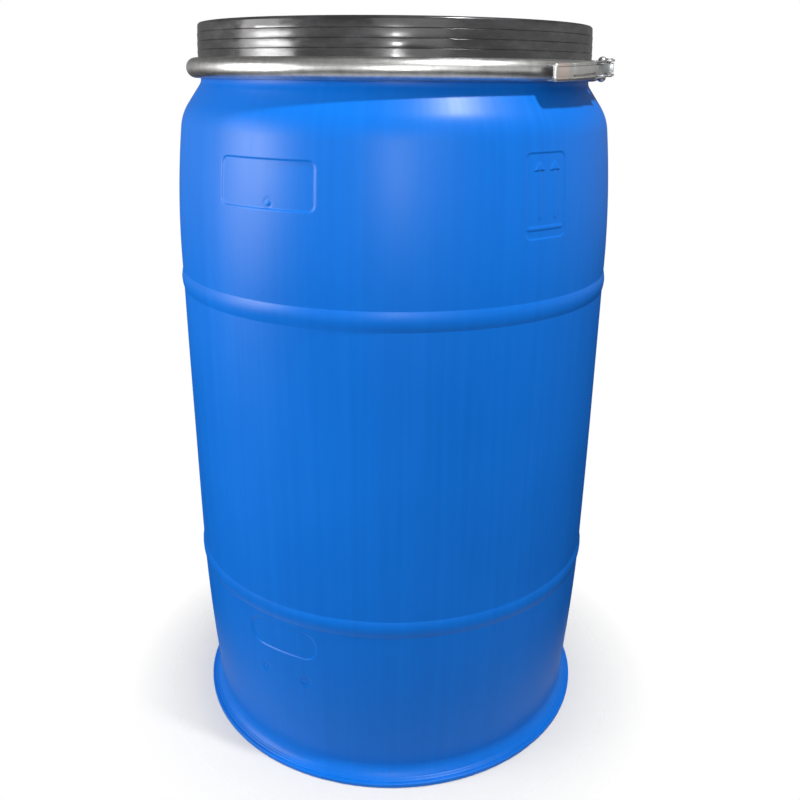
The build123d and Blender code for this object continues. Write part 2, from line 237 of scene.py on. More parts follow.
def new_piece(name, points, faces, material, sharp=35.0):
    """Mesh object from points in millimetres, with outward normals and smooth shading."""
    mesh = bpy.data.meshes.new(name)
    mesh.from_pydata((np.asarray(points) * MM).tolist(), [], faces)
    shape = bmesh.new()
    shape.from_mesh(mesh)
    bmesh.ops.recalc_face_normals(shape, faces=shape.faces)
    shape.to_mesh(mesh)
    shape.free()
    mesh.shade_smooth()
    mesh.set_sharp_from_angle(angle=math.radians(sharp))
    mesh.materials.append(material)
    piece = bpy.data.objects.new(name, mesh)
    bpy.context.scene.collection.objects.link(piece)
    return piece


def closed_round(name, grid, poles, material, coarse_rows=(), coarse_columns=None):
    """Piece from rings of points, pole to pole; coarse rows use only some of the columns."""
    rows, columns = grid.shape[:2]
    every = list(range(columns))
    coarse = every if coarse_columns is None else list(coarse_columns)
    kept = [coarse if i in coarse_rows else every for i in range(rows)]
    points, numbers = [], []
    for i in range(rows):
        numbers.append({j: len(points) + k for k, j in enumerate(kept[i])})
        points += [grid[i, j] for j in kept[i]]
    faces = []
    for i in range(rows - 1):
        fewer = kept[i] if len(kept[i]) < len(kept[i + 1]) else kept[i + 1]
        for j, nj in zip(fewer, fewer[1:] + fewer[:1]):
            span = range(j, nj + 1) if nj > j else [*range(j, columns), *range(nj + 1)]
            low = [numbers[i][k] for k in span if k in numbers[i]]
            high = [numbers[i + 1][k] for k in span if k in numbers[i + 1]]
            faces.append((*low, *reversed(high)))
    for i, way in ((0, 1), (rows - 1, -1)):
        ring = [numbers[i][j] for j in kept[i]]
        points.append(poles[0 if i == 0 else 1])
        for j in range(len(ring)):
            faces.append((len(points) - 1, ring[j], ring[(j + way) % len(ring)]))
    return new_piece(name, points, faces, material)


def modified(piece):
    """Apply a piece's modifiers, so that none is left on it."""
    graph = bpy.context.evaluated_depsgraph_get()
    mesh = bpy.data.meshes.new_from_object(piece.evaluated_get(graph))
    piece.modifiers.clear()
    piece.data = mesh
    return piece


# =============================================================== materials
def node(tree, kind, inputs=(), **settings):
    """Shader node with settings, and inputs given by name or number."""
    made = tree.nodes.new(kind)
    for key, value in settings.items():
        setattr(made, key, value)
    for key, value in dict(inputs).items():
        if isinstance(value, bpy.types.NodeSocket):
            tree.links.new(value, made.inputs[key])
        else:
            made.inputs[key].default_value = value
    return made


def noise(tree, vector, scale, detail=3.0, roughness=0.5):
    """Noise value over a vector."""
    settings = {"Vector": vector, "Scale": scale, "Detail": detail, "Roughness": roughness}
    return node(tree, "ShaderNodeTexNoise", settings).outputs["Fac"]


def maths(tree, operation, first, second=0.0):
    return node(tree, "ShaderNodeMath", {0: first, 1: second}, operation=operation).outputs[0]


def ramp(tree, value, low, high, out_low, out_high):
    """Remap a value, clamped."""
    settings = {"Value": value, "From Min": low, "From Max": high, "To Min": out_low, "To Max": out_high}
    return node(tree, "ShaderNodeMapRange", settings).outputs["Result"]


def mixed(tree, factor, first, second):
    """Colour between two colours, by a factor."""
    made = node(tree, "ShaderNodeMix", data_type="RGBA")
    made.inputs["A"].default_value = (*first, 1)
    made.inputs["B"].default_value = (*second, 1)
    tree.links.new(factor, made.inputs["Factor"])
    return made.outputs["Result"]


def scaled(tree, vector, scale):
    return node(tree, "ShaderNodeMapping", {"Vector": vector, "Scale": scale}).outputs["Vector"]


def round_vector(tree, position):
    """Position unrolled round the axis: (length round a 0.27 m circle, radius, height)."""
    split = node(tree, "ShaderNodeSeparateXYZ", {0: position}).outputs
    angle = maths(tree, "ARCTAN2", split["X"], maths(tree, "MULTIPLY", split["Y"], -1.0))
    along = maths(tree, "MULTIPLY", angle, 0.27)
    flat = node(tree, "ShaderNodeCombineXYZ", {0: split["X"], 1: split["Y"], 2: 0.0}).outputs[0]
    radius = node(tree, "ShaderNodeVectorMath", {0: flat}, operation="LENGTH").outputs["Value"]
    return node(tree, "ShaderNodeCombineXYZ", {0: along, 1: radius, 2: split["Z"]}).outputs[0]


def bumped(tree, shader, heights):
    """Stack bumps on a shader's normal: each is (height socket, distance in metres, strength)."""
    normal = None
    for height, distance, strength in heights:
        made = node(tree, "ShaderNodeBump", {"Height": height, "Distance": distance, "Strength": strength})
        if normal:
            tree.links.new(normal, made.inputs["Normal"])
        normal = made.outputs["Normal"]
    tree.links.new(normal, shader.inputs["Normal"])


def material_tree(name, **constants):
    """New material; constants are set on the shader's own sockets."""
    material = bpy.data.materials.new(name)
    material.use_nodes = True
    tree = material.node_tree
    shader = tree.nodes["Principled BSDF"]
    for key, value in constants.items():
        shader.inputs[key.replace("_", " ")].default_value = value
    position = node(tree, "ShaderNodeTexCoord").outputs["Object"]
    return material, tree, shader, position


def blue_plastic():
    """Satin blow-moulded polyethylene: drawn streaks, faint orange peel and scuffs."""
    material, tree, shader, position = material_tree("blue_hdpe", Specular_IOR_Level=0.22)
    unrolled = round_vector(tree, position)
    streaks = noise(tree, scaled(tree, unrolled, (150, 1, 2.2)), 1.0, 4.0, 0.6)
    cloud = noise(tree, position, 4.5, 3.0)
    peel = noise(tree, position, 340.0, 2.0)
    scuffs = noise(tree, scaled(tree, unrolled, (40, 40, 900)), 1.0, 2.0)
    tone = maths(tree, "ADD", maths(tree, "MULTIPLY", streaks, 0.5), maths(tree, "MULTIPLY", cloud, 0.5))
    colour = mixed(tree, ramp(tree, tone, 0.35, 0.65, 0, 1), (0.0, 0.122, 0.53), (0.0, 0.139, 0.59))
    tree.links.new(colour, shader.inputs["Base Color"])
    tree.links.new(ramp(tree, tone, 0.3, 0.7, 0.34, 0.42), shader.inputs["Roughness"])
    bumped(tree, shader, (
        (streaks, 0.0006, 0.10),
        (cloud, 0.004, 0.12),
        (peel, 0.0002, 0.10),
        (scuffs, 0.0001, 0.08),
    ))
    return material


def black_plastic():
    """Glossy moulded polyethylene with fine rubbed scratches and dusty patches."""
    material, tree, shader, position = material_tree("black_hdpe", Specular_IOR_Level=0.5)
    wear = noise(tree, scaled(tree, position, (16, 16, 60)), 1.0, 5.0, 0.65)
    scratches = noise(tree, scaled(tree, position, (60, 60, 1400)), 1.0, 3.0, 0.7)
    waves = noise(tree, scaled(tree, position, (16, 16, 30)), 1.0, 2.0)
    colour = mixed(tree, ramp(tree, wear, 0.42, 0.72, 0, 1), (0.017, 0.017, 0.018), (0.050, 0.050, 0.053))
    tree.links.new(colour, shader.inputs["Base Color"])
    tree.links.new(ramp(tree, wear, 0.35, 0.7, 0.10, 0.30), shader.inputs["Roughness"])
    bumped(tree, shader, ((scratches, 0.0001, 0.12), (waves, 0.0012, 0.45)))
    return material


def metal(name, dark, bright, roughness, grain, grain_strength, metallic=1.0):
    """Zinc-coated steel: cloudy patches, and a fine grain that runs round the drum."""
    material, tree, shader, position = material_tree(name, Metallic=metallic)
    unrolled = round_vector(tree, position)
    patches = noise(tree, position, 95.0, 5.0, 0.7)
    lines = noise(tree, scaled(tree, unrolled, grain), 1.0, 4.0, 0.7)
    dents = noise(tree, scaled(tree, unrolled, (22, 60, 60)), 1.0, 2.0)
    cloudy = ramp(tree, patches, 0.32, 0.68, 0, 1)
    tree.links.new(mixed(tree, cloudy, dark, bright), shader.inputs["Base Color"])
    tree.links.new(ramp(tree, lines, 0.3, 0.7, *roughness), shader.inputs["Roughness"])
    bumped(tree, shader, ((lines, 0.0002, grain_strength), (patches, 0.0003, 0.15), (dents, 0.001, 0.3)))
    return material


def warm_plate(material):
    """Rubbed, warmer patch where a hand takes the lever's tip."""
    tree = material.node_tree
    shader = tree.nodes["Principled BSDF"]
    plain = shader.inputs["Base Color"].links[0].from_socket
    position = node(tree, "ShaderNodeTexCoord").outputs["Object"]
    along = node(tree, "ShaderNodeSeparateXYZ", {0: round_vector(tree, position)}).outputs["X"]
    first, last = (math.radians(bearing) * 0.27 for bearing in WARM_BEARINGS)
    enters = ramp(tree, along, first, first + 0.0015, 0, 1)
    leaves = ramp(tree, along, last, last + 0.0015, 1, 0)
    within = maths(tree, "MULTIPLY", enters, leaves)
    warm = node(tree, "ShaderNodeMix", {"Factor": within}, data_type="RGBA")
    tree.links.new(plain, warm.inputs["A"])
    warm.inputs["B"].default_value = (0.70, 0.60, 0.54, 1)
    tree.links.new(warm.outputs["Result"], shader.inputs["Base Color"])


def rubber():
    """Matt black foam rubber."""
    material, tree, shader, position = material_tree("gasket_rubber", Specular_IOR_Level=0.3)
    pores = noise(tree, position, 900.0, 4.0, 0.7)
    colour = mixed(tree, pores, (0.012, 0.012, 0.012), (0.03, 0.03, 0.03))
    tree.links.new(colour, shader.inputs["Base Color"])
    tree.links.new(ramp(tree, pores, 0.3, 0.7, 0.7, 0.9), shader.inputs["Roughness"])
    bumped(tree, shader, ((pores, 0.0003, 0.5),))
    return material


BLUE = blue_plastic()
BLACK = black_plastic()
RUBBER = rubber()
BAND_METAL = metal(
    "galvanised_band", (0.48, 0.48, 0.47), (0.66, 0.66, 0.65), (0.30, 0.42), (30, 900, 900), 0.25
)
FITTING_METAL = metal(
    "zinc_fittings", (0.42, 0.43, 0.44), (0.60, 0.61, 0.62), (0.36, 0.52), (160, 400, 400), 0.2
)
LEVER_METAL = metal("zinc_lever", (0.50, 0.50, 0.48), (0.66, 0.65, 0.63), (0.36, 0.50), (60, 700, 700), 0.2)
warm_plate(LEVER_METAL)
PIN_METAL = metal("steel_pins", (0.34, 0.34, 0.35), (0.55, 0.55, 0.56), (0.30, 0.46), (300, 300, 300), 0.2)


# =============================================================== drum body
def through_three(points, height):
    """Radius at a height on the parabola through three (radius, height) points."""
    (r0, z0), (r1, z1), (r2, z2) = points
    a = r0 * (height - z1) * (height - z2) / ((z0 - z1) * (z0 - z2))
    b = r1 * (height - z0) * (height - z2) / ((z1 - z0) * (z1 - z2))
    c = r2 * (height - z0) * (height - z1) / ((z2 - z0) * (z2 - z1))
    return a + b + c


def barrel_radius(height):
    """Outside radius of the wall from the waist up to the neck, hoops included."""
    fine = np.arange(WAIST[1] - 12, NECK_FLANGE[0] + 12, 0.25)
    low_end, low_start = (HOOP_ROOT_R, LOW_HOOP[0]), (HOOP_ROOT_R, LOW_HOOP[1])
    high_end, high_start = (HOOP_ROOT_R, HIGH_HOOP[0]), (HOOP_ROOT_R, HIGH_HOOP[1])
    middle = (BARREL_R, (LOW_HOOP[1] + HIGH_HOOP[0]) / 2)
    shoulder = arc_through(SHOULDER, SHOULDER_MID, CONE, 24)
    wall = np.select(
        [fine < top for top in (*LOW_HOOP, *HIGH_HOOP, SHOULDER[1])],
        [
            through_three((WAIST, LOW_BULGE, low_end), fine),
            np.full_like(fine, HOOP_ROOT_R),
            through_three((low_start, middle, high_end), fine),
            np.full_like(fine, HOOP_ROOT_R),
            through_three((high_start, HIGH_BULGE, SHOULDER), fine),
        ],
        np.interp(fine, (*shoulder[:, 1], NECK[1]), (*shoulder[:, 0], NECK[0])),
    )
    reach = np.arange(-3 * EDGE_BLUR, 3 * EDGE_BLUR + 0.25, 0.25)
    weights = np.exp(-0.5 * (reach / EDGE_BLUR) ** 2)
    padded = np.pad(wall, len(reach) // 2, mode="edge")
    wall = np.convolve(padded, weights / weights.sum(), mode="valid")[: len(fine)]
    radius = np.interp(height, fine, wall)
    for low, high in (LOW_HOOP, HIGH_HOOP):
        across = np.clip((height - (low + high) / 2) / ((high - low) / 2), -1, 1)
        radius = radius + HOOP_RISE * (1 - across**2)
    return radius


def box_distance(bearing, height, box):
    """Distance outside a rounded rectangle on the wall, negative inside it."""
    (left, right), (low, high), corner = box
    u = np.radians(bearing - (left + right) / 2) * MARK_R
    v = height - (low + high) / 2
    half_u = math.radians(right - left) / 2 * MARK_R - corner
    half_v = (high - low) / 2 - corner
    over_u, over_v = np.abs(u) - half_u, np.abs(v) - half_v
    outside = np.hypot(np.maximum(over_u, 0), np.maximum(over_v, 0))
    return outside + np.minimum(np.maximum(over_u, over_v), 0) - corner


def polygon_distance(u, v, corners):
    """Distance outside a polygon, negative inside it."""
    nearest = np.full(u.shape, 1e9)
    inside = np.zeros(u.shape, bool)
    for (ax, ay), (bx, by) in zip(corners, corners[1:] + corners[:1]):
        ex, ey = bx - ax, by - ay
        t = np.clip(((u - ax) * ex + (v - ay) * ey) / (ex * ex + ey * ey), 0, 1)
        nearest = np.minimum(nearest, np.hypot(u - ax - t * ex, v - ay - t * ey))
        crosses = (ay > v) != (by > v)
        slope_u = (bx - ax) * (v - ay) / (by - ay if by != ay else 1e-9) + ax
        inside ^= crosses & (u < slope_u)
    return np.where(inside, -nearest, nearest)


def sunk(distance, depth, edge):
    """Recess whose side slopes over an edge width inside the outline."""
    return -depth * (1 - smooth_step(distance, -edge, 0))


def arrow_mark(bearing, height):
    """Two raised up-arrows over a bar, in a shallow recessed frame."""
    relief = sunk(box_distance(bearing, height, ARROW_FRAME), FRAME_SUNK, MARK_EDGE)
    low, high = ARROW_Z
    head = [(-9.4, high - 12.5), (0.0, high), (9.4, high - 12.5)]
    shaft = [(-3.4, low), (-3.4, high - 10), (3.4, high - 10), (3.4, low)]
    for centre in ARROW_BEARINGS:
        u = np.radians(bearing - centre) * MARK_R
        raised_head = -sunk(polygon_distance(u, height, head), ARROW_HEAD_RISE, MARK_EDGE)
        raised_shaft = -sunk(polygon_distance(u, height, shaft), ARROW_SHAFT_RISE, MARK_EDGE)
        relief = relief + np.maximum(raised_head, raised_shaft)
    bar_left, bar_right = ARROW_BAR[0]
    bar = box_distance(bearing, height, ((bar_left, bar_right), ARROW_BAR[1], 2.8))
    return relief - sunk(bar, ARROW_BAR_RISE, MARK_EDGE)


def dial_mark(bearing, height, dial):
    """Round mould date dial: a sunk ring and hub with plain tick marks."""
    centre, middle, radius = dial
    u = np.radians(bearing - centre) * MARK_R
    v = height - middle
    distance = np.hypot(u, v)
    turn = np.degrees(np.arctan2(u, v)) % 30
    relief = sunk(distance - radius, DIAL_SUNK, MARK_EDGE)
    ray = 1 - smooth_step(np.abs(turn - 15), 3, 8)
    rises = smooth_step(distance, 0.38 * radius, 0.5 * radius)
    falls = 1 - smooth_step(distance, 0.72 * radius, 0.84 * radius)
    ticks = ray * rises * falls
    hub = 1 - smooth_step(distance, 1.2, 2.4)
    return relief + DIAL_RISE * ticks + DIAL_RISE * hub


def wall_relief(bearing, height):
    """What the mould adds to the round wall: marks, parting lines and slight waves."""
    bearing, height = np.broadcast_arrays(bearing, height)
    relief = sunk(box_distance(bearing, height, LABEL), 1.1, MARK_EDGE)
    pip_u = np.radians(bearing - LABEL_PIP[0]) * MARK_R
    pip = np.hypot(pip_u, height - LABEL_PIP[1])
    relief += 0.7 * (1 - smooth_step(pip, 1.2, 3.4)) - 0.35 * np.exp(-((pip - 4.2) / 1.2) ** 2)
    relief += sunk(box_distance(bearing, height, PLATE), PLATE_SUNK, MARK_EDGE)
    relief += arrow_mark(bearing, height)
    for dial in DIALS:
        relief += dial_mark(bearing, height, dial)
    for line in PARTING_BEARINGS:
        away = np.abs(bearing - line) * math.radians(MARK_R)
        relief += 0.3 * (1 - smooth_step(away, 0.4, 1.6))
    turn = np.radians(bearing)
    waves = 0.16 * np.sin(3 * turn + 0.6) * np.sin(height / 96 + 0.4)
    waves += 0.10 * np.sin(7 * turn + height / 61) + 0.05 * np.sin(13 * turn - height / 37 + 2)
    calm = smooth_step(height, 30, 90) * (1 - smooth_step(height, 855, 905))
    return relief + waves * calm


def foot_outline():
    """From the underside's inner edge round the foot flange and up its hollow flare."""
    edge = rounded((
        (FOOT_INNER_R, 0, 0),
        (FOOT_R, 0, 1.6),
        (FOOT_R, FOOT_EDGE_Z, 1.3),
        (FOOT_R - 6, FOOT_EDGE_Z + 2.2, 0),
    ))[:-1]
    flare = arc_through((FOOT_R, FOOT_EDGE_Z), FLARE_MID, WAIST, 36)[3:]
    along = np.linalg.norm(flare - flare[0], axis=1)
    for groove in (2.4, 5.4, 8.2):
        flare[:, 1] -= 0.5 * np.exp(-((along - groove) / 0.8) ** 2)
    return np.vstack((edge, flare))


def mouth_outline():
    """Over the clamped neck flange and the sealing edge, and down inside the neck."""
    low, high = NECK_FLANGE
    return rounded((
        (NECK[0], low - 2, 0),
        (NECK[0], low, 0.8),
        (FLANGE_R, low, 2.0),
        (FLANGE_R, high, 1.2),
        (NECK[0], high, 0.8),
        (NECK[0], RIM_Z, 1.2),
        (NECK_INNER_R, RIM_Z, 1.2),
        (NECK_INNER_R, NECK[1], 6.0),
        (CONE[0] - WALL - 0.6, CONE[1] - 1.5, 10.0),
        (SHOULDER[0] - WALL, SHOULDER[1] - 6, 0),
    ), steps=3)


def inner_outline():
    """Down the inside of the wall and in over the crowned floor."""
    heights = spread((835, 700, 27), (700, 240, 60), (240, 40, 22))
    wall = np.stack((barrel_radius(heights) - WALL, heights), -1)
    corner = arc_through((WAIST[0] - WALL, 34), (267.5, 25.5), (252, 20.5), 6)
    floor_r = np.array((215, 160, 100, 40))
    floor = np.stack((floor_r, 20.5 + 6.0 * (1 - (floor_r / 252) ** 2)), -1)
    return np.vstack((wall, corner, floor))


def underside_outline():
    """Under the floor from near the axis out to the foot ring."""
    under_r = np.array((40, 100, 160, 215))
    under = np.stack((under_r, 15 + 6.5 * (1 - (under_r / 252) ** 2)), -1)
    step = rounded(((245, 15.4, 0), (252, 15, 2.5), (257, 12, 2.5), (FOOT_INNER_R, 0, 0)))
    return np.vstack((under, step[:-1]))


def drum_body():
    """Whole blue moulding, with the marks and lines of its mould as real relief."""
    coarse, fine, parting = 3.2, 0.32, 0.15
    bearings = spread(
        (-180, -90.6, coarse), (-90.6, -89.4, parting), (-89.4, -45, coarse), (-45, -42.4, 0.25),
        (-42.4, -16.4, fine), (-16.4, 29.8, coarse), (29.8, 44.2, 0.27), (44.2, 89.4, coarse),
        (89.4, 90.6, parting), (90.6, 180, coarse),
    )[:-1]
    heights = spread(
        (WAIST[1] + 4, 140, 10), (140, 164, 0.9), (164, 186, 5.5), (186, 194, 0.8), (194, 228, 2.0),
        (228, 236, 0.8), (236, 241.3, 2.6), (241.3, 242.5, 0.6), (242.5, 265.3, 2.3), (265.3, 266.5, 0.6),
        (266.5, 640, 17), (640, 646.1, 3), (646.1, 647.3, 0.6), (647.3, 669.9, 2.3), (669.9, 671.1, 0.6),
        (671.1, 739, 10), (739, 746, 0.8), (746, 750, 2),
        (750, 759, 0.8), (759, 771, 1.5), (771, 786, 0.85),
        (786, 812, 3), (812, 839, 0.8), (839, 871, 3), (871, NECK_FLANGE[0] - 3, 2.2),
    )
    wall = np.stack((barrel_radius(heights), heights), -1)
    outlines = (underside_outline(), foot_outline(), wall, mouth_outline(), inner_outline())
    outline = np.vstack(outlines)
    grid = polar(bearings[None, :], outline[:, :1], outline[:, 1:])
    start = len(outlines[0]) + len(outlines[1])
    end = start + len(wall)
    radius = wall[:, :1] + wall_relief(bearings[None, :], heights[:, None])
    grid[start:end] = polar(bearings[None, :], radius, heights[:, None])
    columns = [0]
    for j, bearing in enumerate(bearings):
        if bearing - bearings[columns[-1]] > 0.9 * coarse:
            columns.append(j)
    plain = {*range(start), *range(end, len(outline))}
    poles = ((0, 0, 21.5), (0, 0, 26.5))
    return closed_round("drum_moulding", grid, poles, BLUE, plain, columns)


# =============================================================== lid
def lid_underside():
    """From near the axis out to the plug, the gasket groove and the clamped flange."""
    raised_r, slope_r, rise = RAISED
    low = PANEL_Z[0]
    return rounded((
        (30, low + rise, 0),
        (raised_r - 2, low + rise, 3),
        (slope_r - 2, low, 3),
        (PLUG_R[0], low, 1.5),
        (PLUG_R[0], PLUG_Z, 1.4),
        (PLUG_R[1] - 0.6, PLUG_Z, 1.4),
        (PLUG_R[1], PLUG_Z + 5, 3),
        (PLUG_R[1], GROOVE[1], 0.5),
        (GROOVE[0], GROOVE[1], 0.5),
        (GROOVE[0], LID_FLANGE[0], 0.8),
        (FLANGE_R, LID_FLANGE[0], 1.0),
        (FLANGE_R, LID_FLANGE[1], 2.0),
        (SKIRT_R, LID_FLANGE[1], 0),
    ), steps=3)[:-1]


def lid_wall():
    """Up the stepped outside wall, over the rounded rim and down inside to the panel."""
    radius = SKIRT_R
    corners = [(radius + 0.8, LID_FLANGE[1], 0.8), (radius - 0.35, LID_FLANGE[1] + 1.5, 1.0)]
    for step in LID_STEPS:
        corners += [(radius, step - 0.2, 0.25), (radius - STEP_IN - 0.35, step + 0.35, 0.2)]
        radius -= STEP_IN
        corners.append((radius, step + 0.9, 0.4))
    corners += [
        (radius - 0.7, LID_TOP, 5.2),
        (RIM_IN_R, LID_TOP, 1.6),
        (RIM_IN_R, RIM_BOTTOM_Z, 1.5),
        (WALL_IN_R, RIM_BOTTOM_Z - 4, 2),
        (WALL_IN_R, GUSSET_TOP, 0),
    ]
    return rounded(corners, steps=3)


def lid_panel():
    """From the gussets' top down the inner wall and in over the panel to the hub."""
    raised_r, slope_r, rise = RAISED
    top = PANEL_Z[1]
    hub_r, hub_h = HUB
    bay = rounded(((WALL_IN_R, GUSSET_TOP, 0), (WALL_IN_R, top, 4.5), (GUSSET_R, top, 0)), steps=4)[1:]
    steps = np.array((0.25, 0.5, 0.75))[:, None]
    wall = bay[:1] + (np.array(((WALL_IN_R, GUSSET_TOP),)) - bay[:1]) * (1 - steps)
    floor = bay[-2:-1] + (bay[-1:] - bay[-2:-1]) * steps
    bay = np.vstack((wall, bay[:-1], floor, bay[-1:]))
    middle = rounded((
        (GUSSET_R, top, 0),
        (slope_r, top, 3),
        (raised_r + 0.3, top + rise, 2.5),
        (raised_r - 0.4, top + rise, 0),
        (hub_r + 0.6, top + rise, 0),
        (hub_r, top + rise + hub_h, 1.0),
        (30, top + rise + hub_h, 0),
    ), steps=3)[1:]
    return bay, middle


def lid():
    """Whole black moulding: the gussets and ribs rise out of the panel's own surface."""
    low = lid_underside()
    wall = lid_wall()
    bay, middle = lid_panel()
    outline = np.vstack((low, wall, bay, middle))
    rows = len(outline)
    between = 10
    side = 0.35
    across = np.array((-SPOKE_HALF - side, -SPOKE_HALF, SPOKE_HALF, SPOKE_HALF + side))
    on_spoke = np.zeros(len(across) + between, bool)
    on_spoke[1:3] = True
    on_spoke = np.tile(on_spoke, SPOKES)
    pitch = 360 / SPOKES
    bearings = np.empty((rows, len(on_spoke)))
    for i, (radius, _) in enumerate(outline):
        near = np.degrees(across / max(radius, HUB[0]))
        free = np.linspace(near[-1], pitch + near[0], between + 2)[1:-1]
        one = np.concatenate((near, free))
        bearings[i] = np.concatenate([one + pitch * k for k in range(SPOKES)])
    radii = np.repeat(outline[:, :1], len(on_spoke), 1)
    heights = np.repeat(outline[:, 1:], len(on_spoke), 1)
    start = len(low) + len(wall)
    path = np.vstack((outline[start - 1], bay))
    share = np.cumsum(np.linalg.norm(np.diff(path, axis=0), axis=1))
    share /= share[-1]
    slant = path[:1] + (path[-1:] - path[:1]) * share[:, None]
    radii[start : start + len(bay), on_spoke] = slant[:, :1]
    heights[start : start + len(bay), on_spoke] = slant[:, 1:]
    ribs = (outline[:, 0] > RIB_R[0]) & (outline[:, 0] < RIB_R[1]) & (np.arange(rows) > start)
    heights[np.ix_(ribs, on_spoke)] += RIB_H
    grid = polar(bearings, radii, heights)
    raised = RAISED[2]
    poles = ((0, 0, PANEL_Z[0] + raised), (0, 0, PANEL_Z[1] + raised + HUB[1]))
    return closed_round("lid_moulding", grid, poles, BLACK)


# =============================================================== clamp ring
def band_outline():
    """Half-round channel section, open towards the drum, with rounded lip edges."""
    outer, inner = BAND_SECTION_R, BAND_SECTION_R - BAND_SHEET
    edge = BAND_SHEET / 2
    outside = arc_through(
        (BAND_ROUND_R, BAND_Z - outer), (BAND_ROUND_R + outer, BAND_Z), (BAND_ROUND_R, BAND_Z + outer), 25
    )
    inside = arc_through(
        (BAND_ROUND_R, BAND_Z + inner), (BAND_ROUND_R + inner, BAND_Z), (BAND_ROUND_R, BAND_Z - inner), 17
    )
    upper = arc_through(
        (BAND_LIP_R + edge, BAND_Z + outer),
        (BAND_LIP_R, BAND_Z + outer - edge),
        (BAND_LIP_R + edge, BAND_Z + inner),
        5,
    )
    lower = np.stack((upper[::-1, 0], 2 * BAND_Z - upper[::-1, 1]), -1)
    return np.vstack((outside, upper, inside, lower))


def band(name, start, end):
    """Stretch of the clamp ring between two bearings, closed at its ends."""
    outline = band_outline()
    bearings = spread((start, end, 1.5))
    grid = polar(bearings[:, None], outline[None, :, 0], outline[None, :, 1])
    rows, columns = grid.shape[:2]
    faces = grid_faces(rows, columns, wrap_columns=True)
    faces.append(tuple(range(columns - 1, -1, -1)))
    faces.append(tuple(range((rows - 1) * columns, rows * columns)))
    return new_piece(name, grid.reshape(-1, 3), faces, BAND_METAL)


def blend_points(hinge, direction):
    """Where the springy ring starts and ends its bend, about a hinge bearing."""
    at = polar(hinge, BAND_ROUND_R, BAND_Z) * MM
    along = (polar(hinge + direction, 1.0, 0) - polar(hinge - direction, 1.0, 0))
    along *= BLEND_REACH * MM / np.linalg.norm(along)
    return tuple(at - along), tuple(at + along)


# =============================================================== lever
def lever_radius(along, across):
    """Outside radius of the lever's face: crowned, curled in at the tip, and pressed."""
    curl = 4.5
    radius = LEVER_R[1] - 0.7 * (across / LEVER_HALF) ** 2
    into = np.clip((curl - along) / curl, 0, 1)
    radius -= curl * (1 - np.sqrt(1 - 0.96 * into**2))
    between = smooth_step(across, -4.4, -3.0) * (1 - smooth_step(across, 6.0, 7.6))
    panel = smooth_step(along, 31, 34) * between
    radius += 0.55 * panel
    groove_at = -4.9 + 0.028 * np.clip(along - 34, 0, 60)
    groove = np.exp(-((across - groove_at) / 0.75) ** 2) * smooth_step(along, 32, 36)
    return radius - 1.3 * groove


def lever():
    """Pressed channel handle with a curled tip and two flat ears to the pivot."""
    corner = 3.2
    face_half = LEVER_HALF - corner
    turn = np.radians(np.linspace(90, 0, 6))
    flange_r = np.linspace(LEVER_R[0], LEVER_R[1] - corner, 4)[:-1]
    web_length = math.radians(LEVER_WEB_END - LEVER_TIP) * LEVER_R[1]
    full_length = math.radians(PIVOT[0] - LEVER_TIP) * LEVER_R[1]
    stations = spread((0.0, 5.5, 0.7), (5.5, 30, 1.6), (30, 38, 0.8), (38, web_length, 1.6))
    face = np.linspace(face_half, -face_half, 25)[1:-1]
    rows = []
    for along in stations:
        narrow = 2.6 * (1 - math.sqrt(1 - min(1, max(0, (3.4 - along) / 3.4)) ** 2 * 0.98))
        centre = lever_radius(along, np.array(0.0))
        deep = float(centre) - LEVER_R[1]
        top = [(r + deep * (r > LEVER_R[0] + 1), LEVER_HALF - narrow) for r in flange_r]
        bend = [
            (LEVER_R[1] - corner + corner * math.cos(a) + deep, face_half - narrow + corner * math.sin(a))
            for a in turn
        ]
        middle = []
        for v in face:
            outward = float(lever_radius(along, np.array(v))) if along > 4.5 else LEVER_R[1] + deep
            middle.append((outward, v * (1 - narrow / LEVER_HALF)))
        upper = top + bend
        section = upper + middle + [(r, -v) for r, v in reversed(upper)]
        rows.append(section)
    sections = np.array(rows)
    bearings = LEVER_TIP + np.degrees(stations / LEVER_R[1])
    grid = polar(bearings[:, None], sections[..., 0], sections[..., 1])
    count, columns = grid.shape[:2]
    points = list(grid.reshape(-1, 3))
    faces = grid_faces(count, columns)
    ear_rows = len(flange_r) + 2
    for side in (1, -1):
        first = [(count - 1) * columns + (k if side > 0 else columns - 1 - k) for k in range(ear_rows)]
        previous = first
        ear_end = full_length + EAR_END - 0.05
        for along in spread((web_length, full_length, 3.0), (full_length, ear_end, 0.9))[1:]:
            past = max(0.0, along - full_length)
            spread_r = math.sqrt(EAR_END**2 - past**2)
            near = smooth_step(along, full_length - 9, full_length)
            inner = LEVER_R[0] * (1 - near) + (PIVOT[1] - spread_r) * near
            outer = EAR_R * (1 - near) + (PIVOT[1] + spread_r) * near
            bearing = LEVER_TIP + math.degrees(along / LEVER_R[1])
            row = []
            for r in np.linspace(inner, outer, ear_rows):
                row.append(len(points))
                points.append(polar(bearing, r, side * LEVER_HALF))
            for k in range(ear_rows - 1):
                faces.append((previous[k], previous[k + 1], row[k + 1], row[k]))
            previous = row
    points = on_latch(np.array(points))
    piece = new_piece("lever_pressing", points, faces, LEVER_METAL)
    sheet = piece.modifiers.new("sheet", "SOLIDIFY")
    sheet.thickness = LEVER_SHEET * MM
    sheet.offset = -1.0
    sheet.use_rim = True
    return modified(piece)


def on_latch(points):
    """Lift flat latch points to their height and tilt them about the pivot's radius."""
    outward = Vector(polar(PIVOT[0], 1.0, 0))
    tilt = np.array(Matrix.Rotation(math.radians(LATCH_TILT), 3, outward))
    return points @ tilt.T + np.array((0, 0, LATCH_Z))


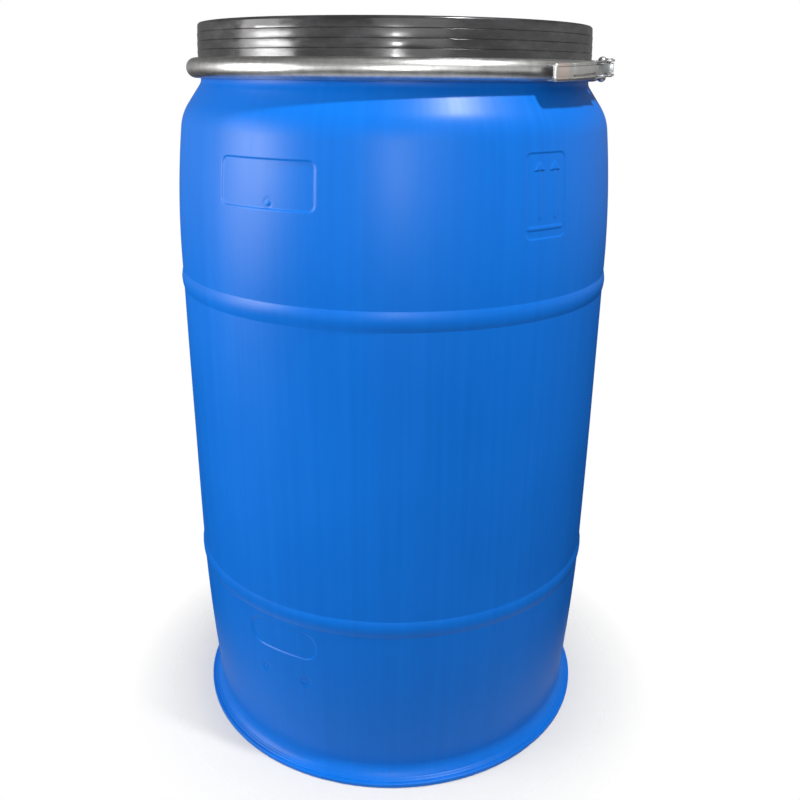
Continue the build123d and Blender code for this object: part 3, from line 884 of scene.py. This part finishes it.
def dressed(node_name, name, material, edge):
    """Copy of a CAD piece with its edges broken, to stand for it."""
    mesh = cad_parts[node_name].data.copy()
    mesh.name = name
    mesh.materials.clear()
    mesh.materials.append(material)
    piece = bpy.data.objects.new(name, mesh)
    bpy.context.scene.collection.objects.link(piece)
    shape = bmesh.new()
    shape.from_mesh(mesh)
    bmesh.ops.remove_doubles(shape, verts=shape.verts, dist=0.00002)
    shape.to_mesh(mesh)
    shape.free()
    mesh.shade_smooth()
    bevel = piece.modifiers.new("edges", "BEVEL")
    bevel.width = edge * MM
    bevel.segments = 2
    bevel.limit_method = "ANGLE"
    bevel.angle_limit = math.radians(32)
    bevel.harden_normals = False
    modified(piece)
    piece.data.shade_smooth()
    piece.data.set_sharp_from_angle(angle=math.radians(40))
    return piece


# =============================================================== pieces on their bodies
body_piece = drum_body()
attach(body_piece, "drum")
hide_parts("drum_body")

lid_piece = lid()
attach(lid_piece, "lid")
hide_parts("lid")

lever_half = band("clamp_ring_lever_half", BACK_BEARING - 360, RING_ENDS[0])
start, end = blend_points(HINGE_BEARINGS[0] - 360, 1)
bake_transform(lever_half)
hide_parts("clamp_band_lever_side", "clamp_band_back")

link_half = band("clamp_ring_link_half", RING_ENDS[1], BACK_BEARING)
start, end = blend_points(HINGE_BEARINGS[1], -1)
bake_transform(link_half)
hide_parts("clamp_band_link_side")

lever_piece = lever()
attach(lever_piece, "lever")
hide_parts("lever")

for node_name, name, body, material, slot, edge in (
    ("lever_bracket", "lever_bracket_pressing", "ring_lever_side", FITTING_METAL, "zinc_fittings", 0.4),
    ("link_bracket", "link_bracket_pressing", "ring_link_side", FITTING_METAL, "zinc_fittings", 0.4),
    ("link", "link_strap", "link", FITTING_METAL, "zinc_fittings", 0.4),
    ("pivot_rivets", "pivot_rivet_pair", "ring_lever_side", PIN_METAL, "steel_pins", 0.3),
    ("link_pin", "link_pin_headed", "lever", PIN_METAL, "steel_pins", 0.3),
    ("anchor_pin", "anchor_pin_headed", "ring_link_side", PIN_METAL, "steel_pins", 0.3),
):
    piece = dressed(node_name, name, material, edge)
    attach(piece, body)
    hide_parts(node_name)

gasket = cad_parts["lid_gasket"]
gasket.data.materials.clear()
gasket.data.materials.append(RUBBER)


# =============================================================== floor, light, camera
def stage_floor():
    """Plain pale floor that fades out into the white room."""
    material, tree, shader, position = material_tree("pale_floor", Roughness=0.9, Specular_IOR_Level=0.1)
    grain = noise(tree, position, 30.0, 3.0)
    tree.links.new(mixed(tree, grain, (0.60, 0.60, 0.60), (0.64, 0.64, 0.64)), shader.inputs["Base Color"])
    away = node(tree, "ShaderNodeVectorMath", {0: position}, operation="LENGTH").outputs["Value"]
    tree.links.new(ramp(tree, away, *FLOOR_FADE, 1.0, 0.0), shader.inputs["Alpha"])
    mesh = bpy.data.meshes.new("floor")
    shape = bmesh.new()
    bmesh.ops.create_circle(shape, cap_ends=True, segments=96, radius=FLOOR_FADE[1] + 0.05)
    shape.to_mesh(mesh)
    shape.free()
    mesh.materials.append(material)
    floor = bpy.data.objects.new("floor", mesh)
    floor.location.z = -0.0005
    bpy.context.scene.collection.objects.link(floor)


def softbox(name, place, target, width, height, power, colour=(1, 1, 1), mirrored=True):
    """Rectangular area light that faces a target, and may be left out of reflections."""
    light = bpy.data.lights.new(name, "AREA")
    light.shape = "RECTANGLE"
    light.size = width
    light.size_y = height
    light.energy = power
    light.color = colour
    box = bpy.data.objects.new(name, light)
    box.visible_glossy = mirrored
    box.location = place
    box.rotation_euler = (Vector(target) - Vector(place)).to_track_quat("-Z", "Y").to_euler()
    bpy.context.scene.collection.objects.link(box)


def room():
    """White where it is seen directly, and uneven where it lights or is reflected.

    Reflections see a bright horizon, dimmer behind the drum, a grey sky above it, a dark
    ground below it and a bright patch straight down.
    """
    world = bpy.data.worlds.new("room")
    bpy.context.scene.world = world
    world.use_nodes = True
    tree = world.node_tree
    tree.nodes.clear()
    direction = node(tree, "ShaderNodeTexCoord").outputs["Generated"]
    split = node(tree, "ShaderNodeSeparateXYZ", {0: direction}).outputs
    up = split["Z"]
    lit = ramp(tree, up, -0.1, 0.3, GROUND_LIGHT, SKY_LIGHT)
    above = ramp(tree, up, 0.08, 0.45, HORIZON_GLOSS, SKY_GLOSS)
    near = ramp(tree, up, -0.80, -0.60, UNDERFOOT_GLOSS, GROUND_GLOSS)
    below = maths(tree, "MAXIMUM", ramp(tree, up, -0.22, -0.04, GROUND_GLOSS, HORIZON_GLOSS), near)
    behind = ramp(tree, split["Y"], 0.0, 0.8, 1.0, BEHIND_GLOSS)
    mirrored = maths(tree, "MULTIPLY", maths(tree, "MINIMUM", above, below), behind)
    white = {"Color": (1, 1, 1, 1), "Strength": 1.0}
    backgrounds = [node(tree, "ShaderNodeBackground", white) for _ in range(3)]
    seen, diffuse, glossy = (made.outputs[0] for made in backgrounds)
    tree.links.new(lit, backgrounds[1].inputs["Strength"])
    tree.links.new(mirrored, backgrounds[2].inputs["Strength"])
    rays = node(tree, "ShaderNodeLightPath").outputs
    felt = node(tree, "ShaderNodeMixShader", {0: rays["Is Glossy Ray"], 1: diffuse, 2: glossy}).outputs[0]
    either = node(tree, "ShaderNodeMixShader", {0: rays["Is Camera Ray"], 1: felt, 2: seen}).outputs[0]
    node(tree, "ShaderNodeOutputWorld", {"Surface": either})


stage_floor()
room()
softbox("left_box", (-1.95, -0.55, 1.05), (0, 0, 0.75), 1.0, 1.4, 26, (1.0, 0.98, 0.97))
softbox("left_strip", (-1.81, -0.81, 1.03), (-0.17, -0.18, 0.95), 0.8, 0.22, 12)
softbox("overhead", (0.86, -0.75, 2.73), (0, 0, 0.85), 0.14, 0.14, 54)
softbox("front_fill", (0.5, -3.2, 1.7), (0, 0, 0.5), 2.4, 1.6, 22)
softbox("front_spark", (0.02, -1.55, 0.985), (0, 0, 0.95), 0.10, 0.04, 3.6)
softbox("back_fill", (-0.6, 3.2, 1.7), (0, 0, 0.5), 2.4, 1.6, 16, mirrored=False)

camera = bpy.data.cameras.new("camera")
camera.lens = LENS
camera.sensor_width = SENSOR
camera_object = bpy.data.objects.new("camera", camera)
camera_object.matrix_world = (
    Matrix.Translation(CAMERA_AT)
    @ Matrix.Rotation(math.radians(-CAMERA_YAW), 4, "Z")
    @ Matrix.Rotation(math.radians(90 - CAMERA_DOWN), 4, "X")
    @ Matrix.Rotation(math.radians(CAMERA_ROLL), 4, "Z")
)
bpy.context.scene.collection.objects.link(camera_object)
bpy.context.scene.camera = camera_object
bpy.context.scene.view_settings.view_transform = "Standard"
